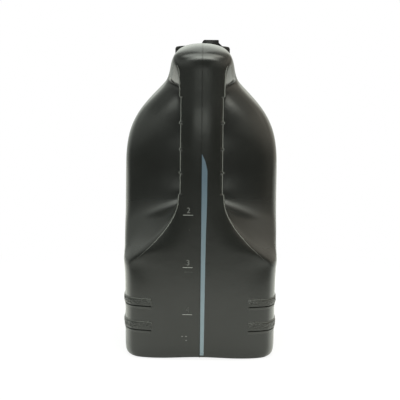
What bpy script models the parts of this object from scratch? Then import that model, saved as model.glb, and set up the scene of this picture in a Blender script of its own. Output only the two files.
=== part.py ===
"""A five-litre oil bottle: a blown jerrycan body with a hollow grip handle, a threaded neck,
a ribbed screw cap with its seal liner, and the tamper band that stays on the neck.

Metres, +Z up. The origin is under the middle of the body, on the surface it stands on.
The grip is at -Y, the two label faces look along +X and -X, and the mould parts at X = 0.
"""
import math

import bmesh
import bpy

MM = 0.001

# Body
HALF_WIDTH = 74.3 * MM
FOOT_HALF_WIDTH = 69.3 * MM
TAPER_BOTTOM_Z = 55 * MM
TAPER_TOP_Z = 127 * MM
SHOULDER_INSET = 2.8 * MM
BACK_Y = -97.5 * MM
FRONT_Y = 97.5 * MM
CORNER_X = 25 * MM
CORNER_Y = 34 * MM
WALL = 1.6 * MM
FOOT_RADIUS = 7.5 * MM
BASE_RECESS = 5 * MM
BASE_ARCH = 3 * MM
SHOULDER_Z = 208 * MM

# Grip, the eye behind it and the finger scoops below it
GRIP_HALF_WIDTH = 20.3 * MM
GRIP_THICKNESS = 27 * MM
GRIP_EDGE = 0.55
GRIP_LEAN = 4.6 * MM
LEAN_BOTTOM_Z = 180 * MM
EYE_WIDTH = 27 * MM
EYE_BOTTOM_Z = 144 * MM
EYE_TOP_Z = 240 * MM
LEAN_TOP_Z = EYE_TOP_Z + 12 * MM
WALL_CORNER = 20 * MM
RIDGE_DROP = 17 * MM
FLARE_TOP_Z = 145 * MM
FLARE_BOTTOM_Z = 85 * MM
FLARE_REACH = 70 * MM
FLARE_POWER = 1.75
LOWER_BODY_Z = 68 * MM
CREASE_ROLL = 4.2 * MM
SCOOP_STEEPNESS = 0.9

# Bridge from the grip to the neck
BRIDGE_HEIGHT = 47.5 * MM
BRIDGE_TOP_Z = EYE_TOP_Z + BRIDGE_HEIGHT
BRIDGE_HALF_WIDTH = 27 * MM
SHOULDER_TOP_LIFT = 11 * MM
SHOULDER_TOP_Z = EYE_TOP_Z + SHOULDER_TOP_LIFT
LAND_LIFT = 7.5 * MM
LAND_Z = SHOULDER_TOP_Z + LAND_LIFT

# Neck finish
NECK_Y = 24 * MM
NECK_RADIUS = 23 * MM
NECK_WALL = 2.4 * MM
NECK_BORE_RADIUS = NECK_RADIUS - NECK_WALL
COLLAR_MARGIN = 11.2 * MM
COLLAR_HALF_WIDTH = NECK_RADIUS + COLLAR_MARGIN
NECK_HEIGHT = 25.7 * MM
NECK_TOP_Z = LAND_Z + NECK_HEIGHT
BEAD_LIFT = 4.5 * MM
BEAD_Z = LAND_Z + BEAD_LIFT
BEAD_HEIGHT = 1.4 * MM
BEAD_DEPTH = 1.3 * MM

# Closure
CAP_CLEARANCE = 1.8 * MM
CAP_WALL = 1.9 * MM
CAP_TOP_WALL = 2.0 * MM
CAP_RIBS = 60
CAP_RIB_DEPTH = 0.5 * MM
CAP_EDGE = 0.8 * MM
LINER_THICKNESS = 1.2 * MM
TAB_WIDTH = 15.5 * MM
TAB_LENGTH = 34 * MM
TAB_HEIGHT = 6 * MM
TAB_LEFT_X = 0.2 * MM
BAND_HEIGHT = 3.4 * MM
BAND_WALL = 1.5 * MM
BAND_LIFT = 1.1 * MM
FIT_GAP = 0.35 * MM

# Raised grip strips at the two rear corners
STRIP_HEIGHTS = ((25 * MM, 34.3 * MM), (47 * MM, 55.4 * MM))
STRIP_RAISE = 0.8 * MM
STRIP_INNER_X = 43 * MM
STRIP_FRONT_Y = -30 * MM
STRIP_REACH = 10 * MM

SUBDIVISIONS = 1
TURN_STEPS = 48


def lerp(a, b, t):
    return a + (b - a) * t


def smooth(t):
    t = max(0.0, min(1.0, t))
    return t * t * (3 - 2 * t)


def body_half_width(z):
    """The sides draw in from the label panels to the foot."""
    return lerp(FOOT_HALF_WIDTH, HALF_WIDTH, smooth((z - TAPER_BOTTOM_Z) / (TAPER_TOP_Z - TAPER_BOTTOM_Z)))


def rear_corner(w, degrees):
    """A point on the large elliptical corner between the back and the side."""
    a = math.radians(degrees)
    return w - CORNER_X * (1 - math.sin(a)), BACK_Y + CORNER_Y * (1 - math.cos(a))


def body_section(w):
    """Half of the body's rounded rectangle, from the back centre round to the front centre."""
    return [
        (0, BACK_Y), (0.5 * w, BACK_Y + 0.1 * MM),
        rear_corner(w, 37), rear_corner(w, 52), rear_corner(w, 65), rear_corner(w, 77),
        (w, BACK_Y + CORNER_Y + 2 * MM), (w, BACK_Y + CORNER_Y + 15 * MM),
        (w, BACK_Y + CORNER_Y + 32 * MM), (w, BACK_Y + CORNER_Y + 56 * MM),
        (w, FRONT_Y - 46 * MM), (w - 8 * MM, FRONT_Y - 8 * MM),
        (0.5 * w, FRONT_Y - 0.1 * MM), (0, FRONT_Y),
    ]


def body_row(z, inset=0.0, arch=0.0):
    """The section at height z, drawn in by inset, and lifted by arch towards the parting plane."""
    w = body_half_width(z)
    middle = (BACK_Y + FRONT_Y) / 2
    row = []
    for x, y in body_section(w):
        y_scale = 1 - inset / (FRONT_Y - middle)
        lift = arch * (1 - smooth(x / (48 * MM)))
        row.append((x * (1 - inset / w), middle + (y - middle) * y_scale, z + lift))
    return row


def base_spine():
    """The row that closes the base along the parting plane."""
    middle = (BACK_Y + FRONT_Y) / 2
    reach = 0.55
    return [(0, middle + (y - middle) * reach, BASE_RECESS + BASE_ARCH / 3)
            for x, y in body_section(HALF_WIDTH)]


def crease_x(z):
    """Half width of the back face: the grip's width, flaring to the full body lower down."""
    t = (FLARE_TOP_Z - z) / (FLARE_TOP_Z - FLARE_BOTTOM_Z)
    flare = lerp(GRIP_HALF_WIDTH, FLARE_REACH, max(t, 0.0) ** FLARE_POWER)
    return min(flare, body_half_width(z) - 0.3 * CORNER_X)


def corner_depth(x, w):
    """How far the back face has turned round its corner at half width x."""
    s = max(0.0, min(1.0, (x - (w - CORNER_X)) / CORNER_X))
    return CORNER_Y * (1 - math.sqrt(1 - s * s))


def scoop_row(z):
    """A level cut through the scoop: the back face, the crease, then the floor out to the side."""
    w = body_half_width(z)
    t = (z - FLARE_BOTTOM_Z) / (EYE_BOTTOM_Z - FLARE_BOTTOM_Z)
    cx = crease_x(z)
    roll = lerp(CREASE_ROLL, 2 * MM, t) * lerp(0.5, 1, smooth(t / 0.24))
    cy = BACK_Y + corner_depth(cx, w) + roll
    wall_y = BACK_Y + GRIP_THICKNESS + EYE_WIDTH
    end_y = lerp(BACK_Y + CORNER_Y + 5 * MM, wall_y + 0.25 * WALL_CORNER, t)
    pull = t ** SCOOP_STEEPNESS
    bend_x = lerp(w, cx + 1 * MM, pull)
    bend_y = lerp(BACK_Y + 0.5 * CORNER_Y, wall_y - 5 * MM, pull)
    row = [(0, BACK_Y, z), (lerp(0.66, 0.5, t) * cx, BACK_Y + 0.12 * roll, z), (cx, cy, z)]
    for u in (0.14, 0.28, 0.43, 0.58, 0.74, 0.9):
        x = (1 - u) ** 2 * cx + 2 * u * (1 - u) * bend_x + u * u * w
        y = (1 - u) ** 2 * cy + 2 * u * (1 - u) * bend_y + u * u * end_y
        row.append((x, y, z - RIDGE_DROP * pull * u ** 1.15))
    row.append((w, lerp(BACK_Y + CORNER_Y + 40 * MM, wall_y + WALL_CORNER, t), z - 0.6 * RIDGE_DROP * pull))
    row += [(x, y, z) for x, y in body_section(w)[10:]]
    return row


def grip_back(z):
    """The grip's back leans forward towards the bridge."""
    t = (z - LEAN_BOTTOM_Z) / (LEAN_TOP_Z - LEAN_BOTTOM_Z)
    return BACK_Y + GRIP_LEAN * max(0.0, min(1.0, t)) ** 2.5


def grip_section(z, inner_z=None):
    """Half of the grip's section, from its flat back to the middle of its inner side."""
    inner_z = z if inner_z is None else inner_z
    g = GRIP_HALF_WIDTH
    back, inner_y = grip_back(z), BACK_Y + GRIP_THICKNESS
    return [
        (0, back, z), (0.5 * g, back + 0.1 * MM, z), (g, back + 2 * MM, z),
        (g + 0.7 * MM, (back + inner_y) / 2, lerp(z, inner_z, 0.4)),
        (0.76 * g, inner_y - 3 * MM, lerp(z, inner_z, 0.8)), (0, inner_y, inner_z),
    ]


def wall_section(z, w, wall_y, front_y, corner):
    """Half of the body's section in front of the eye, from the wall's middle to the front centre."""
    return [
        (0, wall_y, z), (0.35 * w, wall_y + 0.4 * MM, z), (w - 0.67 * corner, wall_y + 3.5 * MM, z),
        (w, wall_y + corner, z), (w, front_y - 46 * MM, z),
        (w - 8 * MM, front_y - 10 * MM, z), (0.5 * w, front_y - 0.3 * MM, z), (0, front_y, z),
    ]


def eye_row(z):
    wall_y = BACK_Y + GRIP_THICKNESS + EYE_WIDTH
    return grip_section(z) + wall_section(z, body_half_width(z), wall_y, FRONT_Y, WALL_CORNER)


def eye_bottom_row():
    """The saddle under the eye; its outer end runs down along the scoop's ridge."""
    z = EYE_BOTTOM_Z
    row = grip_section(z, z - 1 * MM)
    drops = (0, 0.2, 0.78, 0.6, 0, 0, 0, 0)
    fillets = (0.5 * MM, 3 * MM, 4 * MM, 0, 0, 0, 0, 0)
    wall_y = BACK_Y + GRIP_THICKNESS + EYE_WIDTH
    wall = wall_section(z, body_half_width(z), wall_y, FRONT_Y, WALL_CORNER)
    ends = zip(wall, fillets, drops)
    return row + [(x, y - fillet, h - drop * RIDGE_DROP) for (x, y, h), fillet, drop in ends]


def shoulder_rows():
    wall_y = BACK_Y + GRIP_THICKNESS + EYE_WIDTH
    low = grip_section(SHOULDER_Z)
    low += wall_section(SHOULDER_Z, HALF_WIDTH - SHOULDER_INSET, wall_y + 1.5 * MM, FRONT_Y - 3 * MM, WALL_CORNER)
    middle_z = lerp(SHOULDER_Z, SHOULDER_TOP_Z, 0.5)
    middle = grip_section(lerp(SHOULDER_Z, EYE_TOP_Z, 0.55))
    middle += wall_section(middle_z, lerp(HALF_WIDTH, COLLAR_HALF_WIDTH, 0.37), wall_y + 7 * MM,
                           FRONT_Y - 20 * MM, 20 * MM)
    return [low, middle]


def collar_front(width, front_y, z):
    """The rounded front half of the collar round the neck, from its side to the front centre."""
    span = front_y - NECK_Y
    return [(width, NECK_Y - 14 * MM, z), (width, NECK_Y + 0.15 * span, z),
            (0.8 * width, NECK_Y + 0.72 * span, z), (0.42 * width, NECK_Y + 0.96 * span, z), (0, front_y, z)]


def bridge_rows():
    """From the top of the eye over the bridge's sides and crown to the land round the neck."""
    g, c, b = GRIP_HALF_WIDTH, COLLAR_HALF_WIDTH, BRIDGE_HALF_WIDTH
    back, top = BACK_Y + GRIP_LEAN, BRIDGE_TOP_Z
    inner_y = BACK_Y + GRIP_THICKNESS
    wall_y = inner_y + EYE_WIDTH
    joint_z = SHOULDER_TOP_Z
    eye_top = grip_section(EYE_TOP_Z + 3 * MM, EYE_TOP_Z)
    eye_top += [(0, wall_y + 13 * MM, joint_z - 4 * MM), (0.6 * c, wall_y + 14 * MM, joint_z - 3.5 * MM),
                (c + 1 * MM, wall_y + 22 * MM, joint_z - 1 * MM)]
    eye_top += collar_front(c + 4.5 * MM, NECK_Y + c + 5.8 * MM, joint_z)
    sides_low = [
        (0, back, top - 27.5 * MM), (0.5 * g, back + 0.1 * MM, top - 27.5 * MM),
        (g + 0.2 * MM, back + 2 * MM, top - 27.5 * MM), (g + 1.2 * MM, back + 11 * MM, EYE_TOP_Z + 12 * MM),
        (g + 3 * MM, inner_y - 1 * MM, EYE_TOP_Z + 6 * MM), (c - 5.5 * MM, inner_y + 14 * MM, EYE_TOP_Z + 5 * MM),
        (c - 3.5 * MM, wall_y + 4 * MM, joint_z - 2 * MM), (c - 1.5 * MM, wall_y + 17 * MM, joint_z + 3 * MM),
        (c, wall_y + 33 * MM, joint_z + 5 * MM),
    ] + collar_front(c, NECK_Y + c + 1.8 * MM, joint_z + 5 * MM)
    sides_high = [
        (0, back + 0.2 * MM, top - 18.5 * MM), (0.5 * b, back + 1 * MM, top - 18 * MM),
        (b - 1.2 * MM, back + 4 * MM, top - 17.5 * MM), (b + 0.8 * MM, back + 12 * MM, top - 20 * MM),
        (b + 2.8 * MM, inner_y, top - 21 * MM), (b + 3.5 * MM, inner_y + 14 * MM, top - 21 * MM),
        (b + 3.8 * MM, wall_y + 4 * MM, top - 21 * MM), (b + 4 * MM, wall_y + 17 * MM, top - 23 * MM),
        (c - 2 * MM, wall_y + 34 * MM, LAND_Z + 1 * MM),
    ] + collar_front(c - 1.2 * MM, NECK_Y + c - 0.7 * MM, LAND_Z)
    crown_edge = [
        (0, back + 3.5 * MM, top - 10 * MM), (0.45 * b, back + 6 * MM, top - 9.5 * MM),
        (b - 1.5 * MM, back + 12 * MM, top - 10.5 * MM), (b - 0.5 * MM, back + 21 * MM, top - 12.5 * MM),
        (b - 0.8 * MM, inner_y + 7 * MM, top - 12 * MM), (b - 0.8 * MM, inner_y + 18 * MM, top - 12 * MM),
        (b - 0.5 * MM, wall_y + 5 * MM, top - 13 * MM), (b + 0.5 * MM, wall_y + 18 * MM, top - 18 * MM),
        (c - 4 * MM, wall_y + 33 * MM, LAND_Z + 1.5 * MM),
    ] + collar_front(c - 2 * MM, NECK_Y + c - 1.7 * MM, LAND_Z)
    crown = [
        (0, back + 24 * MM, top + 0.5 * MM), (0.36 * b, back + 26 * MM, top - 0.3 * MM),
        (0.6 * b, back + 31 * MM, top - 2.2 * MM), (0.7 * b, back + 37 * MM, top - 3.4 * MM),
        (0.72 * b, back + 45 * MM, top - 4 * MM), (0.72 * b, back + 52 * MM, top - 5 * MM),
        (0.73 * b, wall_y + 7 * MM, top - 8 * MM), (0.84 * b, wall_y + 19 * MM, top - 17.5 * MM),
        (0.99 * b, wall_y + 33 * MM, LAND_Z + 1.5 * MM),
    ] + collar_front(c - 2.6 * MM, NECK_Y + c - 2.4 * MM, LAND_Z)
    crown_front = [
        (0, wall_y + 5 * MM, top - 1.5 * MM), (0.3 * b, wall_y + 5.5 * MM, top - 2 * MM),
        (0.48 * b, wall_y + 7 * MM, top - 3.5 * MM), (0.56 * b, wall_y + 9 * MM, top - 5.5 * MM),
        (0.6 * b, wall_y + 11 * MM, top - 8 * MM), (0.63 * b, wall_y + 14 * MM, top - 11 * MM),
        (0.67 * b, wall_y + 19 * MM, top - 16 * MM), (0.77 * b, wall_y + 26 * MM, top - 22 * MM),
        (0.95 * b, wall_y + 35 * MM, LAND_Z + 1 * MM),
    ] + collar_front(c - 3.2 * MM, NECK_Y + c - 3.2 * MM, LAND_Z)
    return [eye_top, sides_low, sides_high, crown_edge, crown, crown_front]


# The angle at which each column of the cage meets the neck, from the back centre to the front
NECK_ANGLES = (0, 8, 15, 21, 27, 33, 40, 47, 55, 66, 99, 132, 157, 180)


def ring_row(radius, z):
    """Half of a level circle round the neck's axis."""
    turns = [math.radians(degrees) for degrees in NECK_ANGLES]
    return [(radius * math.sin(a), NECK_Y - radius * math.cos(a), z) for a in turns]


def valley_row():
    """The foot of the slope between the bridge's crown and the neck."""
    row = []
    for degrees in NECK_ANGLES:
        a = math.radians(degrees)
        behind = smooth(1 - degrees / 70)
        radius = NECK_RADIUS + 6.5 * MM + 10 * MM * behind
        row.append((radius * math.sin(a), NECK_Y - radius * math.cos(a), LAND_Z + 5.5 * MM * behind))
    return row


def cage_rows():
    rows = [base_spine()]
    rows.append(body_row(-0.6 * MM, inset=FOOT_RADIUS + 8 * MM, arch=BASE_ARCH))
    rows.append(body_row(-0.6 * MM, inset=0.45 * FOOT_RADIUS, arch=BASE_ARCH))
    rows.append(body_row(0.5 * FOOT_RADIUS, arch=0.4 * BASE_ARCH))
    rows.append(body_row(2.2 * FOOT_RADIUS))
    rows.append(body_row(LOWER_BODY_Z))
    for share in (0.0, 0.1, 0.24, 0.42, 0.6, 0.75, 0.87):
        rows.append(scoop_row(lerp(FLARE_BOTTOM_Z, EYE_BOTTOM_Z, share)))
    rows.append(eye_bottom_row())
    rows.append(eye_row(lerp(EYE_BOTTOM_Z, SHOULDER_Z, 0.27)))
    rows.append(eye_row(lerp(EYE_BOTTOM_Z, SHOULDER_Z, 0.66)))
    rows += shoulder_rows()
    rows += bridge_rows()
    rows.append(valley_row())
    rows.append(ring_row(NECK_RADIUS + 5.3 * MM, LAND_Z))
    rows.append(ring_row((NECK_RADIUS + NECK_BORE_RADIUS) / 2, LAND_Z))
    return rows


def edge_sharpness(z):
    """The grip's edge is crisp; it softens down the flare and vanishes into the bridge."""
    low = smooth((z - FLARE_BOTTOM_Z) / (FLARE_TOP_Z - FLARE_BOTTOM_Z))
    high = 1 - smooth((z - EYE_TOP_Z - 18 * MM) / (16 * MM))
    return GRIP_EDGE * low * high


def bottle_cage(name):
    """The +X half of the bottle as a quad cage, one row of points for each station."""
    rows = cage_rows()
    edge_column, eye_column, eye_rows = 2, 5, range(13, 18)
    bm = bmesh.new()
    grid = [[bm.verts.new(point) for point in row] for row in rows]
    for r in range(len(rows) - 1):
        for c in range(len(rows[0]) - 1):
            if c == eye_column and r in eye_rows:
                continue
            corners = [grid[r][c], grid[r][c + 1], grid[r + 1][c + 1], grid[r + 1][c]]
            bm.faces.new(corners)
    bmesh.ops.remove_doubles(bm, verts=bm.verts, dist=1e-6)
    crease = bm.edges.layers.float.new("crease_edge")
    for r in range(len(rows) - 1):
        edge = bm.edges.get((grid[r][edge_column], grid[r + 1][edge_column]))
        if edge:
            z = (grid[r][edge_column].co.z + grid[r + 1][edge_column].co.z) / 2
            edge[crease] = edge_sharpness(z)
    mesh = bpy.data.meshes.new(name)
    bm.to_mesh(mesh)
    bm.free()
    return mesh


def new_object(name, mesh, collection, material=None):
    obj = bpy.data.objects.new(name, mesh)
    collection.objects.link(obj)
    if material:
        mesh.materials.append(material)
    return obj


def plastic(name, color, roughness):
    material = bpy.data.materials.new(name)
    material.use_nodes = True
    shader = material.node_tree.nodes["Principled BSDF"]
    shader.inputs["Base Color"].default_value = (*color, 1)
    shader.inputs["Roughness"].default_value = roughness
    shader.inputs["Metallic"].default_value = 0
    material.diffuse_color = (*color, 1)
    return material


def add_subdivision(obj):
    mirror = obj.modifiers.new("Mirror", "MIRROR")
    mirror.use_axis[0] = True
    mirror.use_clip = True
    mirror.merge_threshold = 1e-5
    subdivision = obj.modifiers.new("Subdivision", "SUBSURF")
    subdivision.levels = SUBDIVISIONS
    subdivision.render_levels = SUBDIVISIONS


def add_shell(obj, inward, outward):
    solidify = obj.modifiers.new("Wall", "SOLIDIFY")
    solidify.thickness = inward + outward
    solidify.offset = (outward - inward) / (outward + inward)
    solidify.use_even_offset = True


def add_boolean(obj, name, operation, other):
    modifier = obj.modifiers.new(name, "BOOLEAN")
    modifier.operation = operation
    modifier.solver = "EXACT"
    modifier.object = other


def helper(obj):
    obj.hide_render = True
    obj.display_type = "WIRE"
    return obj


def turned_mesh(name, profile, steps, closed=True):
    """Turns a closed (radius, z) profile about the neck's axis."""
    bm = bmesh.new()
    rings = []
    for k in range(steps):
        a = 2 * math.pi * k / steps
        rings.append([bm.verts.new((r * math.cos(a), NECK_Y + r * math.sin(a), z)) for r, z in profile])
    count = len(profile)
    for k in range(steps):
        ring, following = rings[k], rings[(k + 1) % steps]
        for i in range(count if closed else count - 1):
            j = (i + 1) % count
            bm.faces.new((ring[i], following[i], following[j], ring[j]))
    if not closed:
        bm.faces.new([ring[0] for ring in reversed(rings)])
        bm.faces.new([ring[-1] for ring in rings])
    bmesh.ops.recalc_face_normals(bm, faces=bm.faces)
    mesh = bpy.data.meshes.new(name)
    bm.to_mesh(mesh)
    bm.free()
    return mesh


def box_mesh(name, boxes):
    bm = bmesh.new()
    for (x0, x1), (y0, y1), (z0, z1) in boxes:
        corners = [bm.verts.new((x, y, z)) for x in (x0, x1) for y in (y0, y1) for z in (z0, z1)]
        for face in ((0, 1, 3, 2), (4, 6, 7, 5), (0, 4, 5, 1), (2, 3, 7, 6), (0, 2, 6, 4), (1, 5, 7, 3)):
            bm.faces.new([corners[i] for i in face])
    bmesh.ops.recalc_face_normals(bm, faces=bm.faces)
    mesh = bpy.data.meshes.new(name)
    bm.to_mesh(mesh)
    bm.free()
    return mesh


def cap_sizes():
    bore = NECK_RADIUS + CAP_CLEARANCE
    liner_bottom = NECK_TOP_Z + FIT_GAP
    inside_top = liner_bottom + LINER_THICKNESS + FIT_GAP
    band_bottom = LAND_Z + BAND_LIFT
    bottom = band_bottom + BAND_HEIGHT + FIT_GAP
    return bore, bottom, inside_top, inside_top + CAP_TOP_WALL, liner_bottom, band_bottom


def make_bottle(parts, helpers, material):
    bottle = new_object("bottle", bottle_cage("bottle"), parts, material)
    add_subdivision(bottle)
    add_shell(bottle, WALL, 0.0)

    # The neck tube starts inside the land's wall and carries the bead that holds the tamper band
    bead_low = BEAD_Z
    bead_high = BEAD_Z + BEAD_HEIGHT
    profile = [
        (NECK_BORE_RADIUS, LAND_Z - 0.6 * WALL), (NECK_RADIUS, LAND_Z - 0.6 * WALL), (NECK_RADIUS, bead_low),
        (NECK_RADIUS + BEAD_DEPTH, bead_low + 0.2 * BEAD_HEIGHT), (NECK_RADIUS + 0.6 * BEAD_DEPTH, bead_high),
        (NECK_RADIUS, bead_high + 0.5 * BEAD_HEIGHT), (NECK_RADIUS, NECK_TOP_Z - 0.8 * MM),
        (NECK_RADIUS - 0.8 * MM, NECK_TOP_Z), (NECK_BORE_RADIUS, NECK_TOP_Z),
    ]
    neck = helper(new_object("neck_tube", turned_mesh("neck_tube", profile, TURN_STEPS), helpers))
    add_boolean(bottle, "Neck", "UNION", neck)

    # Rear corner strips: a thin skin of the same body, cut to strips and joined on
    strips = helper(new_object("corner_strips", bottle_cage("corner_strips"), helpers))
    add_subdivision(strips)
    add_shell(strips, 0.55 * WALL, STRIP_RAISE)
    reach = HALF_WIDTH + STRIP_REACH
    boxes = []
    for low, high in STRIP_HEIGHTS:
        for side in (-1, 1):
            xs = sorted((side * STRIP_INNER_X, side * reach))
            boxes.append((xs, (BACK_Y - STRIP_REACH, STRIP_FRONT_Y), (low, high)))
    limits = helper(new_object("strip_limits", box_mesh("strip_limits", boxes), helpers))
    add_boolean(strips, "Strips", "INTERSECT", limits)
    add_boolean(bottle, "Strips", "UNION", strips)

    # The feet are cut flat on the ground plane
    ground = [((-0.2, 0.2), (-0.3, 0.3), (-0.05, 0.0))]
    floor = helper(new_object("ground_cut", box_mesh("ground_cut", ground), helpers))
    add_boolean(bottle, "Feet", "DIFFERENCE", floor)
    return bottle


def make_cap(parts, material):
    bore, bottom, inside_top, top, _, _ = cap_sizes()
    outer = bore + CAP_WALL
    crest = outer + CAP_RIB_DEPTH
    steps = CAP_RIBS * 2
    bm = bmesh.new()
    levels = [(bore, bottom), (None, bottom), (None, top - CAP_EDGE), (outer - CAP_EDGE, top)]
    rings = []
    for radius, z in levels:
        ring = []
        for k in range(steps):
            a = 2 * math.pi * (k + 0.5) / steps
            r = radius if radius else (crest if k % 2 else outer)
            ring.append(bm.verts.new((r * math.cos(a), NECK_Y + r * math.sin(a), z)))
        rings.append(ring)
    inner = [bm.verts.new((v.co.x, v.co.y, inside_top)) for v in rings[0]]
    bridges = [(rings[0], rings[1]), (rings[1], rings[2]), (rings[2], rings[3]), (inner, rings[0])]
    for lower, upper in bridges:
        for k in range(steps):
            j = (k + 1) % steps
            bm.faces.new((lower[k], lower[j], upper[j], upper[k]))
    bm.faces.new(inner)
    bm.faces.new(rings[3])
    bmesh.ops.recalc_face_normals(bm, faces=bm.faces)
    mesh = bpy.data.meshes.new("cap")
    bm.to_mesh(mesh)
    bm.free()
    return new_object("cap", mesh, parts, material)


def make_tab(cap, helpers):
    """The off-centre bar on the cap: bevelled on one flank, stepped down on the other."""
    top = cap_sizes()[3]
    x0, x1 = TAB_LEFT_X, TAB_LEFT_X + TAB_WIDTH
    low = top - 0.5 * CAP_TOP_WALL
    high = top + TAB_HEIGHT
    outline = [(x0 - 1.6 * MM, low), (x1 + 3.4 * MM, low), (x1 + 3.4 * MM, top + 0.2 * MM),
               (x1 + 0.2 * MM, top + 0.5 * TAB_HEIGHT), (x1, high), (x0 + 1.2 * MM, high),
               (x0, high - 1.2 * MM), (x0 - 1.6 * MM, top + 1.4 * MM)]
    bm = bmesh.new()
    ends = []
    for y in (NECK_Y - TAB_LENGTH / 2, NECK_Y + TAB_LENGTH / 2):
        ends.append([bm.verts.new((x, y, z)) for x, z in outline])
    count = len(outline)
    for i in range(count):
        j = (i + 1) % count
        bm.faces.new((ends[0][i], ends[0][j], ends[1][j], ends[1][i]))
    bm.faces.new(list(reversed(ends[0])))
    bm.faces.new(ends[1])
    bmesh.ops.recalc_face_normals(bm, faces=bm.faces)
    mesh = bpy.data.meshes.new("cap_tab")
    bm.to_mesh(mesh)
    bm.free()
    tab = helper(new_object("cap_tab", mesh, helpers))
    add_boolean(cap, "Tab", "UNION", tab)


def make_liner(parts, material):
    bore, _, _, _, liner_bottom, _ = cap_sizes()
    radius = bore - 1 * MM
    profile = [(radius, liner_bottom), (radius, liner_bottom + LINER_THICKNESS)]
    mesh = turned_mesh("seal_liner", profile, TURN_STEPS, closed=False)
    return new_object("seal_liner", mesh, parts, material)


def make_band(parts, material):
    bore, bottom, _, _, _, band_bottom = cap_sizes()
    outer = bore + CAP_WALL
    top = bottom - FIT_GAP
    profile = [(NECK_RADIUS + FIT_GAP, band_bottom), (outer - 0.4 * MM, band_bottom),
               (outer, band_bottom + 0.4 * MM), (outer, top), (outer - BAND_WALL, top),
               (NECK_RADIUS + FIT_GAP, BEAD_Z - FIT_GAP)]
    mesh = turned_mesh("tamper_ring", profile, TURN_STEPS)
    return new_object("tamper_ring", mesh, parts, material)


def main():
    for obj in list(bpy.data.objects):
        bpy.data.objects.remove(obj, do_unlink=True)
    parts = bpy.data.collections.new("oil_bottle")
    helpers = bpy.data.collections.new("construction")
    for collection in (parts, helpers):
        bpy.context.scene.collection.children.link(collection)

    body_plastic = plastic("dark_grey_hdpe", (0.022, 0.024, 0.022), 0.32)
    cap_plastic = plastic("black_polypropylene", (0.012, 0.012, 0.012), 0.4)
    band_plastic = plastic("black_band_plastic", (0.012, 0.012, 0.012), 0.42)
    foam = plastic("white_foam_liner", (0.8, 0.8, 0.78), 0.7)

    make_bottle(parts, helpers, body_plastic)
    cap = make_cap(parts, cap_plastic)
    make_tab(cap, helpers)
    make_liner(parts, foam)
    make_band(parts, band_plastic)


main()
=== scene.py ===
"""Looks of the oil bottle: the blown shell, its neck, its closure and the studio.

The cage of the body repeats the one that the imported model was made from, so the smooth
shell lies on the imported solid. Only the wall's corners beside the eye are crisper here.
Metres, +Z up, the grip at -Y.
"""
import math

import bmesh
import bpy
from mathutils import Matrix, Vector, noise
from mathutils.bvhtree import BVHTree


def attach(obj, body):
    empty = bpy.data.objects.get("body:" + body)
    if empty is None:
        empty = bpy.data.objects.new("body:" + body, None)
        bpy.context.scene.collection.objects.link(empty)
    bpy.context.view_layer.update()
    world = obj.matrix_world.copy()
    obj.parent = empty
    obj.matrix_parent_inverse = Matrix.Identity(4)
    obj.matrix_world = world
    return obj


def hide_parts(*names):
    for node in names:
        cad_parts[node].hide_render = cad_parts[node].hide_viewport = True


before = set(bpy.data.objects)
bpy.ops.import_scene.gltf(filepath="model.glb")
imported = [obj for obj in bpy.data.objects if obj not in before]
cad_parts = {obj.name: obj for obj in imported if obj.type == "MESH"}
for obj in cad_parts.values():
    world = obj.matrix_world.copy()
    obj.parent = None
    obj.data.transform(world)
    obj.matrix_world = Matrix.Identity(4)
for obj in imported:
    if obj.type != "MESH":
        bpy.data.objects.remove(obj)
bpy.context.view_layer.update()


MM = 0.001

# Body
HALF_WIDTH = 74.3 * MM
FOOT_HALF_WIDTH = 69.3 * MM
TAPER_BOTTOM_Z = 55 * MM
TAPER_TOP_Z = 127 * MM
SHOULDER_INSET = 2.8 * MM
BACK_Y = -97.5 * MM
FRONT_Y = 97.5 * MM
MIDDLE_Y = (BACK_Y + FRONT_Y) / 2
CORNER_X = 25 * MM
CORNER_Y = 34 * MM
WALL = 1.6 * MM
FOOT_RADIUS = 7.5 * MM
BASE_RECESS = 5 * MM
BASE_ARCH = 3 * MM
SHOULDER_Z = 208 * MM

# Grip, the eye behind it and the finger scoops below it
GRIP_HALF_WIDTH = 20.3 * MM
GRIP_THICKNESS = 27 * MM
GRIP_EDGE = 0.55
GRIP_LEAN = 4.6 * MM
LEAN_BOTTOM_Z = 180 * MM
GRIP_INNER_Y = BACK_Y + GRIP_THICKNESS
EYE_WIDTH = 27 * MM
EYE_WALL_Y = GRIP_INNER_Y + EYE_WIDTH
EYE_BOTTOM_Z = 144 * MM
EYE_TOP_Z = 240 * MM
LEAN_TOP_Z = EYE_TOP_Z + 12 * MM
WALL_CORNER = 14 * MM
RIDGE_DROP = 17 * MM
FLARE_TOP_Z = 145 * MM
FLARE_BOTTOM_Z = 85 * MM
FLARE_REACH = 70 * MM
FLARE_POWER = 1.75
LOWER_BODY_Z = 68 * MM
CREASE_ROLL = 4.2 * MM
SCOOP_STEEPNESS = 0.9

# Bridge from the grip to the neck
BRIDGE_HEIGHT = 47.5 * MM
BRIDGE_TOP_Z = EYE_TOP_Z + BRIDGE_HEIGHT
BRIDGE_HALF_WIDTH = 27 * MM
SHOULDER_TOP_LIFT = 11 * MM
SHOULDER_TOP_Z = EYE_TOP_Z + SHOULDER_TOP_LIFT
LAND_LIFT = 7.5 * MM
LAND_Z = SHOULDER_TOP_Z + LAND_LIFT

# Neck finish
NECK_Y = 24 * MM
NECK_RADIUS = 23 * MM
NECK_WALL = 2.4 * MM
NECK_BORE_RADIUS = NECK_RADIUS - NECK_WALL
COLLAR_MARGIN = 11.2 * MM
COLLAR_HALF_WIDTH = NECK_RADIUS + COLLAR_MARGIN
NECK_HEIGHT = 25.7 * MM
NECK_TOP_Z = LAND_Z + NECK_HEIGHT
BEAD_LIFT = 4.5 * MM
BEAD_Z = LAND_Z + BEAD_LIFT
BEAD_HEIGHT = 1.4 * MM
BEAD_DEPTH = 1.3 * MM

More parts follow.
